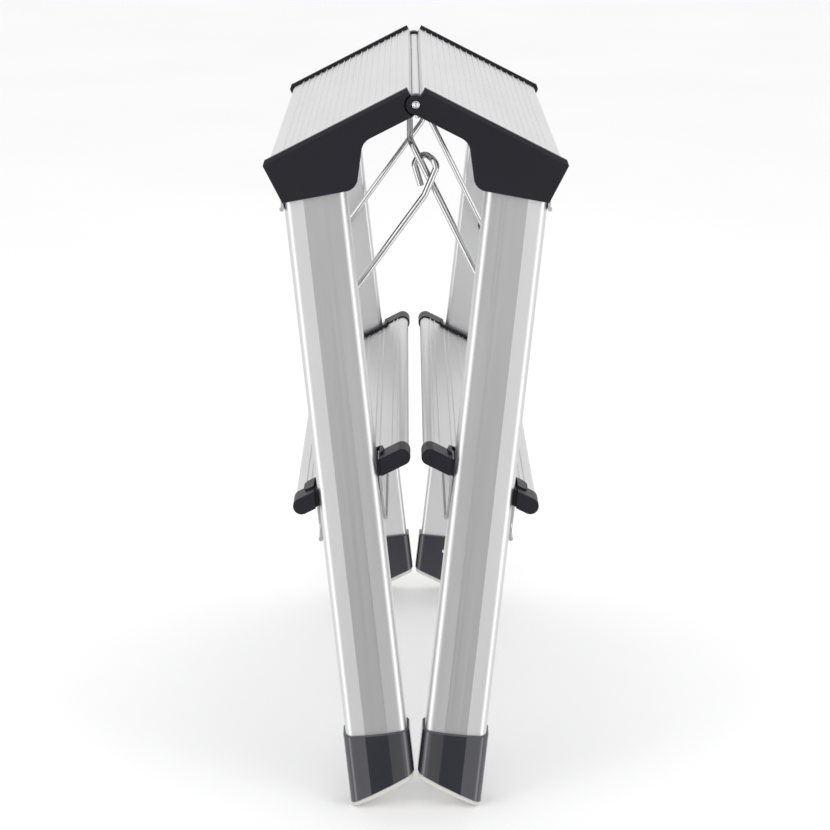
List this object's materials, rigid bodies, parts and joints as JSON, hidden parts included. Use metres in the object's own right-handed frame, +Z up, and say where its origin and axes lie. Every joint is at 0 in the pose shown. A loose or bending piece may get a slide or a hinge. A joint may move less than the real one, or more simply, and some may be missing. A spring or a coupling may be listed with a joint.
{
  "type": "folding step ladder",
  "caption": "Double-sided folding step ladder with a ribbed platform, a tread on each side, splayed box stiles, moulded feet and a wire stay.",
  "frame": {"origin": "on the floor, midway between the four feet and below the hinge axle, with the ladder folded", "axes": "+Z up, +Y along the hinge axle towards the rear, +X from the left half to the right half"},
  "size_m": [0.2136, 0.4894, 0.5228],
  "materials": {
    "anodised_extrusion": "satin anodised extrusion with fine lengthwise drawing lines",
    "dark_moulding": "fine-grained dark blue-grey moulded plastic, semi-matt",
    "soft_pad": "soft light grey elastomer, matt",
    "rivet_aluminium": "plain domed blind rivet",
    "axle_steel": "zinc-plated rod with set-over ends",
    "stay_wire": "bright plated round wire",
    "bush_plastic": "moulded plain bearing"
  },
  "bodies": {
    "hinge_axle": {"hinge_axle": "axle_steel"},
    "left_half": {"left_front_stile": "anodised_extrusion", "left_front_top_bracket": "dark_moulding", "left_front_step_cap": "dark_moulding", "left_front_foot_boot": "dark_moulding", "left_front_foot_pad": "soft_pad", "left_rear_stile": "anodised_extrusion", "left_rear_top_bracket": "dark_moulding", "left_rear_step_cap": "dark_moulding", "left_rear_foot_boot": "dark_moulding", "left_rear_foot_pad": "soft_pad", "left_platform": "anodised_extrusion", "left_step": "anodised_extrusion", "left_platform_rivets": "rivet_aluminium", "left_step_rivets": "rivet_aluminium", "left_foot_rivets": "rivet_aluminium", "left_wire_bushes": "bush_plastic"},
    "right_half": {"right_front_stile": "anodised_extrusion", "right_front_top_bracket": "dark_moulding", "right_front_step_cap": "dark_moulding", "right_front_foot_boot": "dark_moulding", "right_front_foot_pad": "soft_pad", "right_rear_stile": "anodised_extrusion", "right_rear_top_bracket": "dark_moulding", "right_rear_step_cap": "dark_moulding", "right_rear_foot_boot": "dark_moulding", "right_rear_foot_pad": "soft_pad", "right_platform": "anodised_extrusion", "right_step": "anodised_extrusion", "right_platform_rivets": "rivet_aluminium", "right_step_rivets": "rivet_aluminium", "right_foot_rivets": "rivet_aluminium", "right_wire_bushes": "bush_plastic"},
    "left_front_hook": {"left_front_hook": "stay_wire"},
    "left_rear_hook": {"left_rear_hook": "stay_wire"},
    "right_bail": {"right_bail": "stay_wire"}
  },
  "joints": [
    {"name": "left_fold", "type": "hinge", "parent": "hinge_axle", "child": "left_half", "pos_m": [0, 0, 0.51135], "axis": [0, 1, 0], "range_deg": [0, 27]},
    {"name": "right_fold", "type": "hinge", "parent": "hinge_axle", "child": "right_half", "pos_m": [0, 0, 0.51135], "axis": [0, -1, 0], "range_deg": [0, 27]},
    {"name": "left_front_hook_swing", "type": "hinge", "parent": "left_half", "child": "left_front_hook", "pos_m": [-0.06071, 0, 0.35135], "axis": [0, 1, 0], "range_deg": [0, 18]},
    {"name": "left_rear_hook_swing", "type": "hinge", "parent": "left_half", "child": "left_rear_hook", "pos_m": [-0.06071, 0, 0.35135], "axis": [0, 1, 0], "range_deg": [0, 18]},
    {"name": "bail_swing", "type": "hinge", "parent": "right_half", "child": "right_bail", "pos_m": [0.06071, 0, 0.35135], "axis": [0, -1, 0], "range_deg": [0, 24]}
  ],
  "couplings": [
    {"joint": "right_fold", "follows": "left_fold", "ratio": 1},
    {"joint": "left_front_hook_swing", "follows": "left_fold", "ratio": 0.6567},
    {"joint": "left_rear_hook_swing", "follows": "left_fold", "ratio": 0.6567},
    {"joint": "bail_swing", "follows": "left_fold", "ratio": 0.8756}
  ]
}
